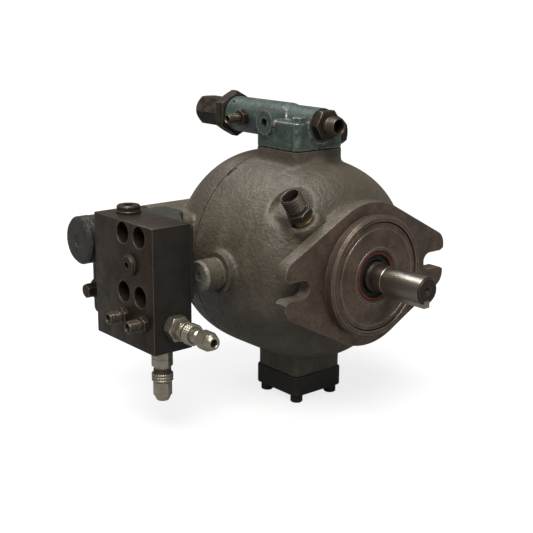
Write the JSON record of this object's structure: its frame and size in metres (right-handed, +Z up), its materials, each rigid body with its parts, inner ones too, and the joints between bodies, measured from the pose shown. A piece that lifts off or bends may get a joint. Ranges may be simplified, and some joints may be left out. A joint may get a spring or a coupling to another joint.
{
  "type": "axial piston pump",
  "caption": "Variable-displacement axial piston pump with a domed two-part body, two-bolt flange, keyed shaft, swashplate rotating group, pressure compensator on top and side manifold block",
  "frame": {"origin": "middle of the bounding box at the level of the bottom cover's screw heads, on which the pump stands", "axes": "Y runs along the drive shaft, whose end and mounting flange face -Y; Z is up, with the compensator on top; the manifold is at -X"},
  "size_m": [0.296, 0.284, 0.2596],
  "materials": {
    "body_paint": "satin grey-olive paint over a cast surface",
    "adapter_paint": "worn dark grey paint",
    "machined_iron": "machined, lightly rusted",
    "rubber": "matt",
    "green_paint": "chipped grey-green paint",
    "oiled_steel": "dark oiled steel",
    "dark_steel": "dark turned steel",
    "rusty_steel": "brown oxidised steel",
    "black_iron": "black",
    "zinc": "bright zinc plate",
    "steel": "ground steel",
    "bronze": "bearing bronze"
  },
  "bodies": {
    "pump": {"pump_housing": "body_paint", "rear_cover": "body_paint", "cover_gasket": "rubber", "seal_carrier": "machined_iron", "shaft_seal": "rubber", "front_bearing": "steel", "rear_bearing": "steel", "trunnion_bearing_left": "bronze", "trunnion_bearing_right": "bronze", "trunnion_cap_left": "adapter_paint", "trunnion_cap_right": "adapter_paint", "valve_plate": "bronze", "compensator_body": "green_paint", "compensator_nut": "rusty_steel", "side_plug": "rusty_steel", "pressure_fitting": "dark_steel", "pilot_fitting": "dark_steel", "drain_fitting": "dark_steel", "bottom_cover": "black_iron", "bottom_cover_screw_1": "black_iron", "bottom_cover_screw_2": "black_iron", "bottom_cover_screw_3": "black_iron", "bottom_cover_screw_4": "black_iron", "manifold_block": "oiled_steel", "manifold_side_plug": "dark_steel", "manifold_top_plug": "dark_steel", "tube_fitting_rear": "dark_steel", "tube_fitting_front": "dark_steel", "front_coupler": "zinc", "bottom_coupler": "zinc", "port_adapter": "adapter_paint", "inlet_adapter": "adapter_paint", "inlet_cap": "adapter_paint", "branch_plug": "dark_steel"},
    "shaft": {"drive_shaft": "steel", "shaft_key": "steel", "cylinder_barrel": "steel", "barrel_spring": "dark_steel"},
    "swash": {"swashplate": "steel"},
    "retainer": {"retainer_plate": "bronze"},
    "slipper_1": {"slipper_1": "bronze"},
    "piston_1": {"piston_1": "steel"},
    "slipper_2": {"slipper_2": "bronze"},
    "piston_2": {"piston_2": "steel"},
    "slipper_3": {"slipper_3": "bronze"},
    "piston_3": {"piston_3": "steel"},
    "slipper_4": {"slipper_4": "bronze"},
    "piston_4": {"piston_4": "steel"},
    "slipper_5": {"slipper_5": "bronze"},
    "piston_5": {"piston_5": "steel"},
    "slipper_6": {"slipper_6": "bronze"},
    "piston_6": {"piston_6": "steel"},
    "slipper_7": {"slipper_7": "bronze"},
    "piston_7": {"piston_7": "steel"},
    "control_piston": {"control_piston": "steel"},
    "bias_piston": {"bias_piston": "steel"},
    "compensator_spool": {"compensator_spool": "steel"},
    "adjusting_screw": {"adjusting_screw": "rusty_steel"},
    "front_coupler_sleeve": {"front_coupler_sleeve": "zinc"},
    "bottom_coupler_sleeve": {"bottom_coupler_sleeve": "zinc"}
  },
  "joints": [
    {"name": "shaft_spin", "type": "hinge", "parent": "pump", "child": "shaft", "pos_m": [0.035, -0.079, 0.126], "axis": [0, 1, 0], "continuous": true},
    {"name": "swash_tilt", "type": "hinge", "parent": "pump", "child": "swash", "pos_m": [0.035, 0.003, 0.126], "axis": [1, 0, 0], "range_deg": [0, 15], "stiffness_Nm_per_rad": 20, "springref_deg": -11.46},
    {"name": "retainer_spin", "type": "hinge", "parent": "swash", "child": "retainer", "pos_m": [0.035, 0.003, 0.126], "axis": [0, 0.9659, -0.2588], "continuous": true},
    {"name": "slipper_1_spin", "type": "hinge", "parent": "retainer", "child": "slipper_1", "pos_m": [0.0696, 0.003, 0.126], "axis": [0, 0.9659, -0.2588], "continuous": true},
    {"name": "piston_1_tilt", "type": "hinge", "parent": "slipper_1", "child": "piston_1", "pos_m": [0.0696, 0.003, 0.126], "axis": [1, 0, 0], "range_deg": [-15, 0]},
    {"name": "slipper_2_spin", "type": "hinge", "parent": "retainer", "child": "slipper_2", "pos_m": [0.05657, 0.01, 0.15213], "axis": [0, 0.9659, -0.2588], "continuous": true},
    {"name": "piston_2_tilt", "type": "hinge", "parent": "slipper_2", "child": "piston_2", "pos_m": [0.05657, 0.01, 0.15213], "axis": [1, 0, 0], "range_deg": [-15, 0]},
    {"name": "slipper_3_spin", "type": "hinge", "parent": "retainer", "child": "slipper_3", "pos_m": [0.0273, 0.01173, 0.15858], "axis": [0, 0.9659, -0.2588], "continuous": true},
    {"name": "piston_3_tilt", "type": "hinge", "parent": "slipper_3", "child": "piston_3", "pos_m": [0.0273, 0.01173, 0.15858], "axis": [1, 0, 0], "range_deg": [-15, 0]},
    {"name": "slipper_4_spin", "type": "hinge", "parent": "retainer", "child": "slipper_4", "pos_m": [0.00383, 0.00688, 0.1405], "axis": [0, 0.9659, -0.2588], "continuous": true},
    {"name": "piston_4_tilt", "type": "hinge", "parent": "slipper_4", "child": "piston_4", "pos_m": [0.00383, 0.00688, 0.1405], "axis": [1, 0, 0], "range_deg": [-15, 0]},
    {"name": "slipper_5_spin", "type": "hinge", "parent": "retainer", "child": "slipper_5", "pos_m": [0.00383, -0.00089, 0.1115], "axis": [0, 0.9659, -0.2588], "continuous": true},
    {"name": "piston_5_tilt", "type": "hinge", "parent": "slipper_5", "child": "piston_5", "pos_m": [0.00383, -0.00089, 0.1115], "axis": [1, 0, 0], "range_deg": [-15, 0]},
    {"name": "slipper_6_spin", "type": "hinge", "parent": "retainer", "child": "slipper_6", "pos_m": [0.0273, -0.00573, 0.09342], "axis": [0, 0.9659, -0.2588], "continuous": true},
    {"name": "piston_6_tilt", "type": "hinge", "parent": "slipper_6", "child": "piston_6", "pos_m": [0.0273, -0.00573, 0.09342], "axis": [1, 0, 0], "range_deg": [-15, 0]},
    {"name": "slipper_7_spin", "type": "hinge", "parent": "retainer", "child": "slipper_7", "pos_m": [0.05657, -0.004, 0.09987], "axis": [0, 0.9659, -0.2588], "continuous": true},
    {"name": "piston_7_tilt", "type": "hinge", "parent": "slipper_7", "child": "piston_7", "pos_m": [0.05657, -0.004, 0.09987], "axis": [1, 0, 0], "range_deg": [-15, 0]},
    {"name": "control_slide", "type": "slide", "parent": "pump", "child": "control_piston", "axis": [0, -1, 0], "range_m": [0, 0.0168]},
    {"name": "bias_slide", "type": "slide", "parent": "pump", "child": "bias_piston", "axis": [0, 1, 0], "range_m": [0, 0.0168]},
    {"name": "spool_slide", "type": "slide", "parent": "pump", "child": "compensator_spool", "axis": [0, 1, 0], "range_m": [0, 0.003], "stiffness_N_per_m": 1500, "springref_m": -0.004},
    {"name": "adjusting_screw_turn", "type": "hinge", "parent": "pump", "child": "adjusting_screw", "pos_m": [0.035, 0.133, 0.2416], "axis": [0, 1, 0], "range_deg": [-360, 360]},
    {"name": "front_coupler_release", "type": "slide", "parent": "pump", "child": "front_coupler_sleeve", "axis": [0, 1, 0], "range_m": [0, 0.002], "stiffness_N_per_m": 600, "springref_m": -0.004},
    {"name": "bottom_coupler_release", "type": "slide", "parent": "pump", "child": "bottom_coupler_sleeve", "axis": [0, 0, 1], "range_m": [0, 0.002], "stiffness_N_per_m": 600, "springref_m": -0.004}
  ],
  "couplings": [
    {"joint": "retainer_spin", "follows": "shaft_spin", "ratio": 1},
    {"joint": "slipper_1_spin", "follows": "shaft_spin", "ratio": -1},
    {"joint": "piston_1_tilt", "follows": "swash_tilt", "ratio": -1},
    {"joint": "slipper_2_spin", "follows": "shaft_spin", "ratio": -1},
    {"joint": "piston_2_tilt", "follows": "swash_tilt", "ratio": -1},
    {"joint": "slipper_3_spin", "follows": "shaft_spin", "ratio": -1},
    {"joint": "piston_3_tilt", "follows": "swash_tilt", "ratio": -1},
    {"joint": "slipper_4_spin", "follows": "shaft_spin", "ratio": -1},
    {"joint": "piston_4_tilt", "follows": "swash_tilt", "ratio": -1},
    {"joint": "slipper_5_spin", "follows": "shaft_spin", "ratio": -1},
    {"joint": "piston_5_tilt", "follows": "swash_tilt", "ratio": -1},
    {"joint": "slipper_6_spin", "follows": "shaft_spin", "ratio": -1},
    {"joint": "piston_6_tilt", "follows": "swash_tilt", "ratio": -1},
    {"joint": "slipper_7_spin", "follows": "shaft_spin", "ratio": -1},
    {"joint": "piston_7_tilt", "follows": "swash_tilt", "ratio": -1},
    {"joint": "control_slide", "follows": "swash_tilt", "m_per_rad": 0.064},
    {"joint": "bias_slide", "follows": "swash_tilt", "m_per_rad": 0.064}
  ]
}
